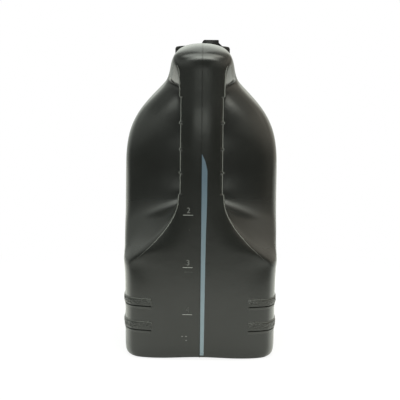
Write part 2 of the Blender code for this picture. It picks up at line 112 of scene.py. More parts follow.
# Closure
CAP_CLEARANCE = 1.8 * MM
CAP_WALL = 1.9 * MM
CAP_TOP_WALL = 2.0 * MM
CAP_RIBS = 60
CAP_RIB_DEPTH = 0.5 * MM
CAP_EDGE = 0.8 * MM
LINER_THICKNESS = 1.2 * MM
TAB_WIDTH = 15.5 * MM
TAB_LENGTH = 34 * MM
TAB_HEIGHT = 6 * MM
TAB_LEFT_X = 0.2 * MM
BAND_HEIGHT = 3.4 * MM
BAND_WALL = 1.5 * MM
BAND_LIFT = 1.1 * MM
FIT_GAP = 0.35 * MM

# Raised grip strips at the two rear corners
STRIP_HEIGHTS = ((25 * MM, 34.3 * MM), (47 * MM, 55.4 * MM))
STRIP_RAISE = 0.8 * MM
STRIP_INNER_X = 43 * MM
STRIP_FRONT_Y = -30 * MM


def lerp(a, b, t):
    return a + (b - a) * t


def smooth(t):
    t = max(0.0, min(1.0, t))
    return t * t * (3 - 2 * t)


def body_half_width(z):
    """The sides draw in from the label panels to the foot."""
    return lerp(FOOT_HALF_WIDTH, HALF_WIDTH, smooth((z - TAPER_BOTTOM_Z) / (TAPER_TOP_Z - TAPER_BOTTOM_Z)))


def rear_corner(w, degrees):
    """A point on the large elliptical corner between the back and the side."""
    a = math.radians(degrees)
    return w - CORNER_X * (1 - math.sin(a)), BACK_Y + CORNER_Y * (1 - math.cos(a))


def body_section(w):
    """Half of the body's rounded rectangle, from the back centre round to the front centre."""
    return [
        (0, BACK_Y), (0.5 * w, BACK_Y + 0.1 * MM),
        rear_corner(w, 37), rear_corner(w, 52), rear_corner(w, 65), rear_corner(w, 77),
        (w, BACK_Y + CORNER_Y + 2 * MM), (w, BACK_Y + CORNER_Y + 15 * MM),
        (w, BACK_Y + CORNER_Y + 32 * MM), (w, BACK_Y + CORNER_Y + 56 * MM),
        (w, FRONT_Y - 46 * MM), (w - 8 * MM, FRONT_Y - 8 * MM),
        (0.5 * w, FRONT_Y - 0.1 * MM), (0, FRONT_Y),
    ]


def body_row(z, inset=0.0, arch=0.0):
    """The section at height z, drawn in by inset, and lifted by arch towards the parting plane."""
    w = body_half_width(z)
    y_scale = 1 - inset / (FRONT_Y - MIDDLE_Y)
    row = []
    for x, y in body_section(w):
        lift = arch * (1 - smooth(x / (48 * MM)))
        row.append((x * (1 - inset / w), MIDDLE_Y + (y - MIDDLE_Y) * y_scale, z + lift))
    return row


def base_spine():
    """The row that closes the base along the parting plane."""
    reach = 0.55
    return [(0, MIDDLE_Y + (y - MIDDLE_Y) * reach, BASE_RECESS + BASE_ARCH / 3)
            for _, y in body_section(HALF_WIDTH)]


def crease_x(z):
    """Half width of the back face: the grip's width, flaring to the full body lower down."""
    t = (FLARE_TOP_Z - z) / (FLARE_TOP_Z - FLARE_BOTTOM_Z)
    flare = lerp(GRIP_HALF_WIDTH, FLARE_REACH, max(t, 0.0) ** FLARE_POWER)
    return min(flare, body_half_width(z) - 0.3 * CORNER_X)


def corner_depth(x, w):
    """How far the back face has turned round its corner at half width x."""
    s = max(0.0, min(1.0, (x - (w - CORNER_X)) / CORNER_X))
    return CORNER_Y * (1 - math.sqrt(1 - s * s))


def scoop_row(z):
    """A level cut through the scoop: the back face, the crease, then the floor out to the side."""
    w = body_half_width(z)
    t = (z - FLARE_BOTTOM_Z) / (EYE_BOTTOM_Z - FLARE_BOTTOM_Z)
    cx = crease_x(z)
    roll = lerp(CREASE_ROLL, 2 * MM, t) * lerp(0.5, 1, smooth(t / 0.24))
    cy = BACK_Y + corner_depth(cx, w) + roll
    end_y = lerp(BACK_Y + CORNER_Y + 5 * MM, EYE_WALL_Y + 0.25 * WALL_CORNER, t)
    pull = t ** SCOOP_STEEPNESS
    bend_x = lerp(w, cx + 1 * MM, pull)
    bend_y = lerp(BACK_Y + 0.5 * CORNER_Y, EYE_WALL_Y - 5 * MM, pull)
    row = [(0, BACK_Y, z), (lerp(0.66, 0.5, t) * cx, BACK_Y + 0.12 * roll, z), (cx, cy, z)]
    for u in (0.14, 0.28, 0.43, 0.58, 0.74, 0.9):
        x, y = [(1 - u) ** 2 * a + 2 * u * (1 - u) * b + u * u * c
                for a, b, c in ((cx, bend_x, w), (cy, bend_y, end_y))]
        row.append((x, y, z - RIDGE_DROP * pull * u ** 1.15))
    side_y = lerp(BACK_Y + CORNER_Y + 40 * MM, EYE_WALL_Y + WALL_CORNER, t)
    row.append((w, side_y, z - 0.6 * RIDGE_DROP * pull))
    row += [(x, y, z) for x, y in body_section(w)[10:]]
    return row


def grip_back(z):
    """The grip's back leans forward towards the bridge."""
    t = (z - LEAN_BOTTOM_Z) / (LEAN_TOP_Z - LEAN_BOTTOM_Z)
    return BACK_Y + GRIP_LEAN * max(0.0, min(1.0, t)) ** 2.5


def grip_section(z, inner_z=None):
    """Half of the grip's section, from its flat back to the middle of its inner side."""
    inner_z = z if inner_z is None else inner_z
    g, back, inner_y = GRIP_HALF_WIDTH, grip_back(z), GRIP_INNER_Y
    return [
        (0, back, z), (0.5 * g, back + 0.1 * MM, z), (g, back + 2 * MM, z),
        (g + 0.7 * MM, (back + inner_y) / 2, lerp(z, inner_z, 0.4)),
        (0.76 * g, inner_y - 3 * MM, lerp(z, inner_z, 0.8)), (0, inner_y, inner_z),
    ]


def wall_section(z, w, wall_y, front_y, corner):
    """Half of the body's section in front of the eye, from the wall's middle to the front centre."""
    return [
        (0, wall_y, z), (0.35 * w, wall_y + 0.4 * MM, z), (w - 0.67 * corner, wall_y + 3.5 * MM, z),
        (w, wall_y + corner, z), (w, front_y - 46 * MM, z),
        (w - 8 * MM, front_y - 10 * MM, z), (0.5 * w, front_y - 0.3 * MM, z), (0, front_y, z),
    ]


def eye_row(z):
    return grip_section(z) + wall_section(z, body_half_width(z), EYE_WALL_Y, FRONT_Y, WALL_CORNER)


def eye_bottom_row():
    """The saddle under the eye; its outer end runs down along the scoop's ridge."""
    z = EYE_BOTTOM_Z
    row = grip_section(z, z - 1 * MM)
    drops = (0, 0.2, 0.78, 0.6, 0, 0, 0, 0)
    fillets = (0.5 * MM, 3 * MM, 4 * MM, 0, 0, 0, 0, 0)
    wall = wall_section(z, body_half_width(z), EYE_WALL_Y, FRONT_Y, WALL_CORNER)
    ends = zip(wall, fillets, drops)
    return row + [(x, y - fillet, h - drop * RIDGE_DROP) for (x, y, h), fillet, drop in ends]


def shoulder_rows():
    low = grip_section(SHOULDER_Z)
    low += wall_section(SHOULDER_Z, HALF_WIDTH - SHOULDER_INSET, EYE_WALL_Y + 1.5 * MM, FRONT_Y - 3 * MM,
                        21 * MM)
    middle_z = lerp(SHOULDER_Z, SHOULDER_TOP_Z, 0.5)
    middle = grip_section(lerp(SHOULDER_Z, EYE_TOP_Z, 0.55))
    middle += wall_section(middle_z, lerp(HALF_WIDTH, COLLAR_HALF_WIDTH, 0.37), EYE_WALL_Y + 7 * MM,
                           FRONT_Y - 20 * MM, 16 * MM)
    return [low, middle]


def collar_front(width, front_y, z):
    """The rounded front half of the collar round the neck, from its side to the front centre."""
    span = front_y - NECK_Y
    return [(width, NECK_Y - 14 * MM, z), (width, NECK_Y + 0.15 * span, z),
            (0.8 * width, NECK_Y + 0.72 * span, z), (0.42 * width, NECK_Y + 0.96 * span, z), (0, front_y, z)]


def bridge_rows():
    """From the top of the eye over the bridge's sides and crown to the land round the neck."""
    g, c, b = GRIP_HALF_WIDTH, COLLAR_HALF_WIDTH, BRIDGE_HALF_WIDTH
    back, inner_y, wall_y = BACK_Y + GRIP_LEAN, GRIP_INNER_Y, EYE_WALL_Y
    top, joint_z = BRIDGE_TOP_Z, SHOULDER_TOP_Z
    low = top - 27.5 * MM
    eye_top = grip_section(EYE_TOP_Z + 3 * MM, EYE_TOP_Z)
    eye_top += [(0, wall_y + 13 * MM, joint_z - 4 * MM), (0.6 * c, wall_y + 14 * MM, joint_z - 3.5 * MM),
                (c + 1 * MM, wall_y + 22 * MM, joint_z - 1 * MM)]
    eye_top += collar_front(c + 4.5 * MM, NECK_Y + c + 5.8 * MM, joint_z)
    sides_low = [
        (0, back, low), (0.5 * g, back + 0.1 * MM, low), (g + 0.2 * MM, back + 2 * MM, low),
        (g + 1.2 * MM, back + 11 * MM, EYE_TOP_Z + 12 * MM),
        (g + 3 * MM, inner_y - 1 * MM, EYE_TOP_Z + 6 * MM),
        (c - 5.5 * MM, inner_y + 14 * MM, EYE_TOP_Z + 5 * MM),
        (c - 3.5 * MM, wall_y + 4 * MM, joint_z - 2 * MM), (c - 1.5 * MM, wall_y + 17 * MM, joint_z + 3 * MM),
        (c, wall_y + 33 * MM, joint_z + 5 * MM),
    ] + collar_front(c, NECK_Y + c + 1.8 * MM, joint_z + 5 * MM)
    sides_high = [
        (0, back + 0.2 * MM, top - 18.5 * MM), (0.5 * b, back + 1 * MM, top - 18 * MM),
        (b - 1.2 * MM, back + 4 * MM, top - 17.5 * MM), (b + 0.8 * MM, back + 12 * MM, top - 20 * MM),
        (b + 2.8 * MM, inner_y, top - 21 * MM), (b + 3.5 * MM, inner_y + 14 * MM, top - 21 * MM),
        (b + 3.8 * MM, wall_y + 4 * MM, top - 21 * MM), (b + 4 * MM, wall_y + 17 * MM, top - 23 * MM),
        (c - 2 * MM, wall_y + 34 * MM, LAND_Z + 1 * MM),
    ] + collar_front(c - 1.2 * MM, NECK_Y + c - 0.7 * MM, LAND_Z)
    crown_edge = [
        (0, back + 3.5 * MM, top - 10 * MM), (0.45 * b, back + 6 * MM, top - 9.5 * MM),
        (b - 1.5 * MM, back + 12 * MM, top - 10.5 * MM), (b - 0.5 * MM, back + 21 * MM, top - 12.5 * MM),
        (b - 0.8 * MM, inner_y + 7 * MM, top - 12 * MM), (b - 0.8 * MM, inner_y + 18 * MM, top - 12 * MM),
        (b - 0.5 * MM, wall_y + 5 * MM, top - 13 * MM), (b + 0.5 * MM, wall_y + 18 * MM, top - 18 * MM),
        (c - 4 * MM, wall_y + 33 * MM, LAND_Z + 1.5 * MM),
    ] + collar_front(c - 2 * MM, NECK_Y + c - 1.7 * MM, LAND_Z)
    crown = [
        (0, back + 24 * MM, top + 0.5 * MM), (0.36 * b, back + 26 * MM, top - 0.3 * MM),
        (0.6 * b, back + 31 * MM, top - 2.2 * MM), (0.7 * b, back + 37 * MM, top - 3.4 * MM),
        (0.72 * b, back + 45 * MM, top - 4 * MM), (0.72 * b, back + 52 * MM, top - 5 * MM),
        (0.73 * b, wall_y + 7 * MM, top - 8 * MM), (0.84 * b, wall_y + 19 * MM, top - 17.5 * MM),
        (0.99 * b, wall_y + 33 * MM, LAND_Z + 1.5 * MM),
    ] + collar_front(c - 2.6 * MM, NECK_Y + c - 2.4 * MM, LAND_Z)
    crown_front = [
        (0, wall_y + 5 * MM, top - 1.5 * MM), (0.3 * b, wall_y + 5.5 * MM, top - 2 * MM),
        (0.48 * b, wall_y + 7 * MM, top - 3.5 * MM), (0.56 * b, wall_y + 9 * MM, top - 5.5 * MM),
        (0.6 * b, wall_y + 11 * MM, top - 8 * MM), (0.63 * b, wall_y + 14 * MM, top - 11 * MM),
        (0.67 * b, wall_y + 19 * MM, top - 16 * MM), (0.77 * b, wall_y + 26 * MM, top - 22 * MM),
        (0.95 * b, wall_y + 35 * MM, LAND_Z + 1 * MM),
    ] + collar_front(c - 3.2 * MM, NECK_Y + c - 3.2 * MM, LAND_Z)
    return [eye_top, sides_low, sides_high, crown_edge, crown, crown_front]


# The angle at which each column of the cage meets the neck, from the back centre to the front
NECK_ANGLES = (0, 8, 15, 21, 27, 33, 40, 47, 55, 66, 99, 132, 157, 180)


def ring_row(radius, z, spread=0.0, rise=0.0):
    """Half a circle round the neck's axis, wider by spread and higher by rise at the back."""
    row = []
    for degrees in NECK_ANGLES:
        a = math.radians(degrees)
        behind = smooth(1 - degrees / 70)
        r = radius + spread * behind
        row.append((r * math.sin(a), NECK_Y - r * math.cos(a), z + rise * behind))
    return row


def cage_rows():
    """All the cage's stations, from the base up to the neck."""
    rows = [base_spine(), body_row(-0.6 * MM, inset=FOOT_RADIUS + 8 * MM, arch=BASE_ARCH),
            body_row(-0.6 * MM, inset=0.45 * FOOT_RADIUS, arch=BASE_ARCH),
            body_row(0.5 * FOOT_RADIUS, arch=0.4 * BASE_ARCH), body_row(2.2 * FOOT_RADIUS),
            body_row(LOWER_BODY_Z)]
    for share in (0.0, 0.1, 0.24, 0.42, 0.6, 0.75, 0.87):
        rows.append(scoop_row(lerp(FLARE_BOTTOM_Z, EYE_BOTTOM_Z, share)))
    rows.append(eye_bottom_row())
    rows += [eye_row(lerp(EYE_BOTTOM_Z, SHOULDER_Z, share)) for share in (0.27, 0.66)]
    rows += shoulder_rows() + bridge_rows()
    slope_foot = ring_row(NECK_RADIUS + 6.5 * MM, LAND_Z, spread=10 * MM, rise=5.5 * MM)
    return rows + [slope_foot, ring_row(NECK_RADIUS + 5.3 * MM, LAND_Z),
                   ring_row((NECK_RADIUS + NECK_BORE_RADIUS) / 2, LAND_Z)]


def edge_sharpness(z):
    """The grip's edge is crisp; it softens down the flare and vanishes into the bridge."""
    low = smooth((z - FLARE_BOTTOM_Z) / (FLARE_TOP_Z - FLARE_BOTTOM_Z))
    high = 1 - smooth((z - EYE_TOP_Z - 18 * MM) / (16 * MM))
    return GRIP_EDGE * low * high


def bottle_cage():
    """The +X half of the bottle as a quad cage, one row of points for each station."""
    rows = cage_rows()
    edge_column, eye_column, eye_rows = 2, 5, range(13, 18)
    bm = bmesh.new()
    grid = [[bm.verts.new(point) for point in row] for row in rows]
    for r in range(len(rows) - 1):
        for c in range(len(rows[0]) - 1):
            if c == eye_column and r in eye_rows:
                continue
            bm.faces.new((grid[r][c], grid[r][c + 1], grid[r + 1][c + 1], grid[r + 1][c]))
    bmesh.ops.remove_doubles(bm, verts=bm.verts, dist=1e-6)
    crease = bm.edges.layers.float.new("crease_edge")
    for r in range(len(rows) - 1):
        edge = bm.edges.get((grid[r][edge_column], grid[r + 1][edge_column]))
        if edge:
            z = (grid[r][edge_column].co.z + grid[r + 1][edge_column].co.z) / 2
            edge[crease] = edge_sharpness(z)
    mesh = bpy.data.meshes.new("cage")
    bm.to_mesh(mesh)
    bm.free()
    return mesh


# Details that only the looks have
CAP_BORE = NECK_RADIUS + CAP_CLEARANCE
CAP_RADIUS = CAP_BORE + CAP_WALL
LINER_BOTTOM_Z = NECK_TOP_Z + FIT_GAP
CAP_CEILING_Z = LINER_BOTTOM_Z + LINER_THICKNESS + FIT_GAP
CAP_TOP_Z = CAP_CEILING_Z + CAP_TOP_WALL
TAMPER_BOTTOM_Z = LAND_Z + BAND_LIFT
CAP_BOTTOM_Z = TAMPER_BOTTOM_Z + BAND_HEIGHT + FIT_GAP
THREAD_STARTS = 2
THREAD_LEAD = 10 * MM
THREAD_HEIGHT = 1.0 * MM
NECK_THREAD_Z = 267.2 * MM
NECK_STEPS = 144
RECESS_DEPTH = 1.3 * MM
RECESS_GRAIN = 0.12 * MM
# The four finger recesses in the grip's edges, from the top one down
RECESSES = ((215.6 * MM, 236.4 * MM), (192.0 * MM, 212.6 * MM),
            (171.0 * MM, 189.4 * MM), (151.0 * MM, 168.6 * MM))
# The middle of each rear corner, which the grip bands go round
CORNER_MIDDLE_X = 34 * MM
CORNER_MIDDLE_Y = -52 * MM
BAND_GRAIN = 0.66 * MM
STRIPE_LEFT_X = 0.1 * MM
STRIPE_TOP = 186.6 * MM
# The stripe's width in millimetres at a few heights in metres
STRIPE_WIDTHS = ((0.0, 3.6), (0.08, 4.2), (0.11, 4.5), (0.145, 5.3), (0.172, 5.3), (0.18, 3.4),
                 (STRIPE_TOP, 0.25))
# Size of the bead that carries the painted highlight along the back face's edge
HIGHLIGHT_LINE_HALF_WIDTH = 0.4 * MM
HIGHLIGHT_LINE_RAISE = 0.25 * MM
# Height, number and look of each level mark; the numbers are litres poured out
MARKS = ((42.1 * MM, "4", "faint"), (84.8 * MM, "3", "digit"), (131.9 * MM, "2", "digit"))
MARK_LEFT_X, MARK_RIGHT_X = -15.9 * MM, -6.9 * MM
DIGIT_X = -11.1 * MM
SIDES = ((-1, "left"), (1, "right"))


def new_object(name, data):
    obj = bpy.data.objects.new(name, data)
    bpy.context.scene.collection.objects.link(obj)
    return obj


def new_piece(name, mesh, material):
    piece = new_object(name, mesh)
    mesh.materials.clear()
    mesh.materials.append(material)
    return piece


def finished_mesh(name, bm, shade_smooth=True):
    bmesh.ops.recalc_face_normals(bm, faces=bm.faces)
    mesh = bpy.data.meshes.new(name)
    bm.to_mesh(mesh)
    bm.free()
    mesh.polygons.foreach_set("use_smooth", [shade_smooth] * len(mesh.polygons))
    return mesh


def evaluated_mesh(obj):
    """The object's mesh with its modifiers applied. The object is removed."""
    deps = bpy.context.evaluated_depsgraph_get()
    mesh = bpy.data.meshes.new_from_object(obj.evaluated_get(deps))
    bpy.data.objects.remove(obj, do_unlink=True)
    return mesh


def surface_mesh(levels):
    """The mirrored and subdivided cage, as a plain mesh."""
    cage = bottle_cage()
    obj = new_object("cage", cage)
    mirror = obj.modifiers.new("Mirror", "MIRROR")
    mirror.use_axis[0] = True
    mirror.use_clip = True
    mirror.merge_threshold = 1e-5
    subdivision = obj.modifiers.new("Subdivision", "SUBSURF")
    subdivision.levels = levels
    subdivision.render_levels = levels
    mesh = evaluated_mesh(obj)
    bpy.data.meshes.remove(cage)
    return mesh


def join_rings(bm, rings, closed=False):
    """Strips of faces from ring to ring, with a fan where a ring is a single point."""
    for a, b in zip(rings, rings[1:] + (rings[:1] if closed else [])):
        steps = max(len(a), len(b))
        for i in range(steps):
            j = (i + 1) % steps
            if len(a) == 1:
                bm.faces.new((a[0], b[j], b[i]))
            elif len(b) == 1:
                bm.faces.new((a[i], a[j], b[0]))
            else:
                bm.faces.new((a[i], a[j], b[j], b[i]))


def cap_ends(bm, first, last):
    bm.faces.new(first)
    bm.faces.new(list(reversed(last)))


def band_pass(value, low, high, soft):
    """1 between low and high, falling to 0 over soft outside them."""
    return smooth((value - low) / soft + 1) * smooth((high - value) / soft + 1)


def recess_amount(co):
    """How much of the grip's finger recess a point has, 0 to 1."""
    z = sum(band_pass(co.z, low, high, 1.1 * MM) for low, high in RECESSES)
    side = smooth((abs(co.x) - 16.5 * MM) / (2.5 * MM))
    fade = band_pass(co.y, BACK_Y - 1 * MM, BACK_Y + 22 * MM, 2 * MM)
    return min(z, 1.0) * side * fade


def recess_move(co, amount):
    """The recesses go in from the side and a little from behind."""
    return Vector((-math.copysign(1.0, co.x), 0.45, 0)) * (RECESS_DEPTH * amount)


def in_recess_zone(co):
    return (RECESSES[-1][0] - 3 * MM < co.z < RECESSES[0][1] + 3 * MM
            and BACK_Y - 2 * MM < co.y < BACK_Y + 25 * MM and 14 * MM < abs(co.x) < 24 * MM)


def shell_mesh(reference):
    """Outer wall fine, inner wall coarser, joined at the neck where the tube hides the joint."""
    bm = bmesh.new()
    outer = surface_mesh(3)
    bm.from_mesh(outer)
    bpy.data.meshes.remove(outer)

    fine = [f for f in bm.faces if in_recess_zone(f.calc_center_median())]
    edges = list(dict.fromkeys(e for f in fine for e in f.edges))
    old = set(bm.verts)
    bmesh.ops.subdivide_edges(bm, edges=edges, cuts=2, use_grid_fill=True)
    for v in bm.verts:
        if v not in old:
            v.co = reference.find_nearest(v.co)[0]
    bm.normal_update()
    moves = []
    for v in bm.verts:
        amount = recess_amount(v.co) if in_recess_zone(v.co) else 0.0
        if amount > 0:
            grain = RECESS_GRAIN * amount * noise.noise(v.co * 900)
            moves.append((v, recess_move(v.co, amount) + v.normal * grain))
    for v, move in moves:
        v.co += move
    for v in bm.verts:
        v.co.z = max(v.co.z, 0.0)

    inner = surface_mesh(2)
    twins = [bm.verts.new(v.co - v.normal * WALL) for v in inner.vertices]
    for polygon in inner.polygons:
        bm.faces.new([twins[i] for i in reversed(polygon.vertices)])
    bpy.data.meshes.remove(inner)
    bmesh.ops.bridge_loops(bm, edges=[e for e in bm.edges if e.is_boundary])
    return finished_mesh("bottle_shell", bm)


def grid_pad(name, top, bottom):
    """A closed thin pad between two equal grids of points."""
    bm = bmesh.new()
    rows, columns = len(top), len(top[0])
    upper = [[bm.verts.new(p) for p in row] for row in top]
    lower = [[bm.verts.new(p) for p in row] for row in bottom]
    for i in range(rows - 1):
        for j in range(columns - 1):
            bm.faces.new((upper[i][j], upper[i][j + 1], upper[i + 1][j + 1], upper[i + 1][j]))
            bm.faces.new((lower[i][j], lower[i + 1][j], lower[i + 1][j + 1], lower[i][j + 1]))
    rim = [(0, j) for j in range(columns)] + [(i, columns - 1) for i in range(1, rows)]
    rim += [(rows - 1, j) for j in range(columns - 2, -1, -1)] + [(i, 0) for i in range(rows - 2, 0, -1)]
    for (i, j), (k, m) in zip(rim, rim[1:] + rim[:1]):
        bm.faces.new((upper[i][j], lower[i][j], lower[k][m], upper[k][m]))
    return finished_mesh(name, bm)


def ring_points(radius, z, steps):
    """A ring round the neck's axis. The radius or the height may be a function."""
    if radius == 0:
        return [(0, NECK_Y, z)]
    points = []
    for k in range(steps):
        a = 2 * math.pi * k / steps
        r = radius(a, z) if callable(radius) else radius
        points.append((r * math.cos(a), NECK_Y + r * math.sin(a), z(k) if callable(z) else z))
    return points


def turned_mesh(name, profile, steps, closed=False):
    """Turns a profile of (radius, height) points about the neck's axis."""
    bm = bmesh.new()
    rings = [[bm.verts.new(p) for p in ring_points(radius, z, steps)] for radius, z in profile]
    join_rings(bm, rings, closed)
    return finished_mesh(name, bm)


def wall_points(radius, low, high, steps):
    return [(radius, lerp(low, high, i / steps)) for i in range(steps + 1)]


def thread_height(angle, z, low, high, offset=0.0):
    """Height of the two-start thread at an angle and height, with tapered ends."""
    best = 0.0
    turns = (high - low) / THREAD_LEAD
    for start in range(THREAD_STARTS):
        for lap in range(-1, int(turns) + 2):
            turn = angle / (2 * math.pi) + lap + start / THREAD_STARTS + offset
            if not 0 <= turn <= turns:
                continue
            centre = low + turn * THREAD_LEAD
            flank = 1 - smooth((abs(z - centre) - 0.35 * MM) / (0.8 * MM))
            ends = smooth(turn / 0.06) * smooth((turns - turn) / 0.06)
            best = max(best, flank * ends)
    return best * THREAD_HEIGHT


def neck_mesh():
    """The neck as a tube: its foot, the bead, the threaded wall, the rim and the bore."""
    r, bore, land, top = NECK_RADIUS, NECK_BORE_RADIUS, LAND_Z, NECK_TOP_Z
    bead_top = BEAD_Z + BEAD_HEIGHT

    def threaded(angle, z):
        return r + thread_height(angle, z, NECK_THREAD_Z, top - 2.2 * MM)

    profile = [
        (bore, land - 1.2 * WALL), (r + 0.9 * MM, land - 0.9 * WALL), (r + 0.75 * MM, land + 0.15 * MM),
        (r + 0.3 * MM, land + 0.4 * MM), (r, land + 1.0 * MM), (r, BEAD_Z),
        (r + 0.85 * BEAD_DEPTH, BEAD_Z + 0.05 * BEAD_HEIGHT), (r + BEAD_DEPTH, BEAD_Z + 0.25 * BEAD_HEIGHT),
        (r + 0.6 * BEAD_DEPTH, bead_top), (r, bead_top + 0.5 * BEAD_HEIGHT),
    ]
    profile += wall_points(threaded, bead_top + 0.6 * BEAD_HEIGHT, top - 0.9 * MM, 44)
    profile += [(r - 0.25 * MM, top - 0.25 * MM), (r - 0.8 * MM, top), (bore + 0.4 * MM, top),
                (bore, top - 0.4 * MM)]
    return turned_mesh("neck_finish", profile, NECK_STEPS, closed=True)


def cap_mesh():
    outer, bore, top, bottom = CAP_RADIUS, CAP_BORE, CAP_TOP_Z, CAP_BOTTOM_Z
    flat = outer - CAP_EDGE

    def ribbed(amount):
        def radius(angle, _):
            wave = 0.5 + 0.5 * math.cos(CAP_RIBS * angle)
            return outer + CAP_RIB_DEPTH * amount * smooth(1.25 * wave - 0.1)
        return radius

    def threaded(angle, z):
        return bore - thread_height(angle, z, bottom + 3.2 * MM, NECK_TOP_Z - 2.6 * MM, offset=0.25)

    profile = [(0, top)] + [(flat * share, top) for share in (0.3, 0.62, 0.9)]
    for degrees in (90, 67, 45, 22, 0):
        a = math.radians(degrees)
        profile.append((flat + CAP_EDGE * math.cos(a), top - CAP_EDGE * (1 - math.sin(a))))
    profile += [(ribbed(0.7), top - CAP_EDGE - 0.5 * MM), (ribbed(1.0), top - CAP_EDGE - 1.2 * MM)]
    profile += [(ribbed(1.0), lerp(top - 2 * MM, bottom, share)) for share in (0.33, 0.66)]
    profile += [(ribbed(1.0), bottom + 1.8 * MM), (ribbed(0.35), bottom + 1.0 * MM),
                (outer, bottom + 0.5 * MM), (outer - 0.15 * MM, bottom), (bore + 0.2 * MM, bottom)]
    profile += wall_points(threaded, bottom + 0.4 * MM, CAP_CEILING_Z - 0.5 * MM, 40)
    profile += [(bore - 0.5 * MM, CAP_CEILING_Z), (bore - 8 * MM, CAP_CEILING_Z), (0, CAP_CEILING_Z)]
    return turned_mesh("cap_shell", profile, CAP_RIBS * 8)


def tab_mesh():
    """The cap's bar, with softened edges."""
    top = CAP_TOP_Z
    x0, x1 = TAB_LEFT_X, TAB_LEFT_X + TAB_WIDTH
    low, high = top - 0.5 * CAP_TOP_WALL, top + TAB_HEIGHT
    outline = [(x0 - 1.6 * MM, low), (x1 + 3.4 * MM, low), (x1 + 3.4 * MM, top + 0.2 * MM),
               (x1 + 0.2 * MM, top + 0.5 * TAB_HEIGHT), (x1, high), (x0 + 1.2 * MM, high),
               (x0, high - 1.2 * MM), (x0 - 1.6 * MM, top + 1.4 * MM)]
    bm = bmesh.new()
    ends = [[bm.verts.new((x, y, z)) for x, z in outline]
            for y in (NECK_Y - TAB_LENGTH / 2, NECK_Y + TAB_LENGTH / 2)]
    join_rings(bm, ends)
    cap_ends(bm, ends[1], ends[0])
    bmesh.ops.recalc_face_normals(bm, faces=bm.faces)
    edges = [e for e in bm.edges if min(v.co.z for v in e.verts) > low + 0.1 * MM]
    bmesh.ops.bevel(bm, geom=edges, offset=0.35 * MM, segments=3, affect="EDGES", clamp_overlap=True)
    return finished_mesh("cap_tab", bm)


def tamper_mesh():
    """The tamper band, with the stubs of the short bridges that tear at the first opening."""
    outer, inner = CAP_RADIUS, NECK_RADIUS + FIT_GAP
    bottom, top = TAMPER_BOTTOM_Z, CAP_BOTTOM_Z - FIT_GAP

    def bridges(k):
        return top + (0.22 * MM if k % 12 in (0, 1) else 0.0)

    profile = [
        (inner, bottom + 0.3 * MM), (inner + 0.3 * MM, bottom), (outer - 0.5 * MM, bottom),
        (outer - 0.15 * MM, bottom + 0.12 * MM), (outer, bottom + 0.5 * MM), (outer, top - 0.35 * MM),
        (outer - 0.12 * MM, bridges), (outer - 0.55 * MM, bridges), (outer - BAND_WALL, top),
        (outer - BAND_WALL - 0.2 * MM, top - 0.6 * MM), (inner, BEAD_Z - FIT_GAP),
    ]
    return turned_mesh("tamper_band", profile, NECK_STEPS, closed=True)


def liner_mesh():
    radius = CAP_BORE - 1 * MM
    bottom, top = LINER_BOTTOM_Z, LINER_BOTTOM_Z + LINER_THICKNESS
    profile = [(0, bottom), (0.5 * radius, bottom), (radius - 1.6 * MM, bottom), (radius - 0.25 * MM, bottom),
               (radius, bottom + 0.2 * MM), (radius, top - 0.2 * MM), (radius - 0.25 * MM, top),
               (0.5 * radius, top), (0, top)]
    return turned_mesh("foam_liner", profile, 120)


def smoothed(grid, laps):
    """Evens a grid of points out, so that it doesn't show the facets that it was taken from."""
    for _ in range(laps):
        old = [row[:] for row in grid]
        for i in range(1, len(grid) - 1):
            for j in range(1, len(grid[0]) - 1):
                beside = old[i][j] * 2 + old[i - 1][j] + old[i + 1][j] + old[i][j - 1] + old[i][j + 1]
                grid[i][j] = beside / 6
    return grid


def corner_normals(grid, side):
    """Normals of a grid of points round a rear corner, away from the corner's middle."""
    normals = []
    rows, columns = len(grid), len(grid[0])
    for i in range(rows):
        row = []
        for j, p in enumerate(grid[i]):
            du = grid[min(i + 1, rows - 1)][j] - grid[max(i - 1, 0)][j]
            dv = grid[i][min(j + 1, columns - 1)] - grid[i][max(j - 1, 0)]
            n = du.cross(dv).normalized()
            outward = Vector((p.x - side * CORNER_MIDDLE_X, p.y - CORNER_MIDDLE_Y, 0))
            row.append(n if n.dot(outward) > 0 else -n)
        normals.append(row)
    return normals


def corner_path(reference, side, z):
    """Points round one rear corner at height z, from the back face to the side."""
    centre = Vector((side * CORNER_MIDDLE_X, CORNER_MIDDLE_Y, z))
    points = []
    for k in range(241):
        a = math.radians(-8 + 150 * k / 240)
        hit = reference.ray_cast(centre, Vector((side * math.sin(a), -math.cos(a), 0)))[0]
        if hit and abs(hit.x) >= STRIP_INNER_X - 2 * MM and hit.y <= STRIP_FRONT_Y + 2 * MM:
            points.append(hit)
    return points


def resampled(points, count):
    """Evenly spaced points along a path."""
    lengths = [0.0]
    for a, b in zip(points, points[1:]):
        lengths.append(lengths[-1] + (b - a).length)
    result, k = [], 0
    for i in range(count):
        s = lengths[-1] * i / (count - 1)
        while k < len(points) - 2 and lengths[k + 1] < s:
            k += 1
        span = max(lengths[k + 1] - lengths[k], 1e-9)
        result.append(points[k].lerp(points[k + 1], (s - lengths[k]) / span))
    return result


def sunk(grid, normals, depth):
    return [[p - n * depth for p, n in zip(row, line)] for row, line in zip(grid, normals)]


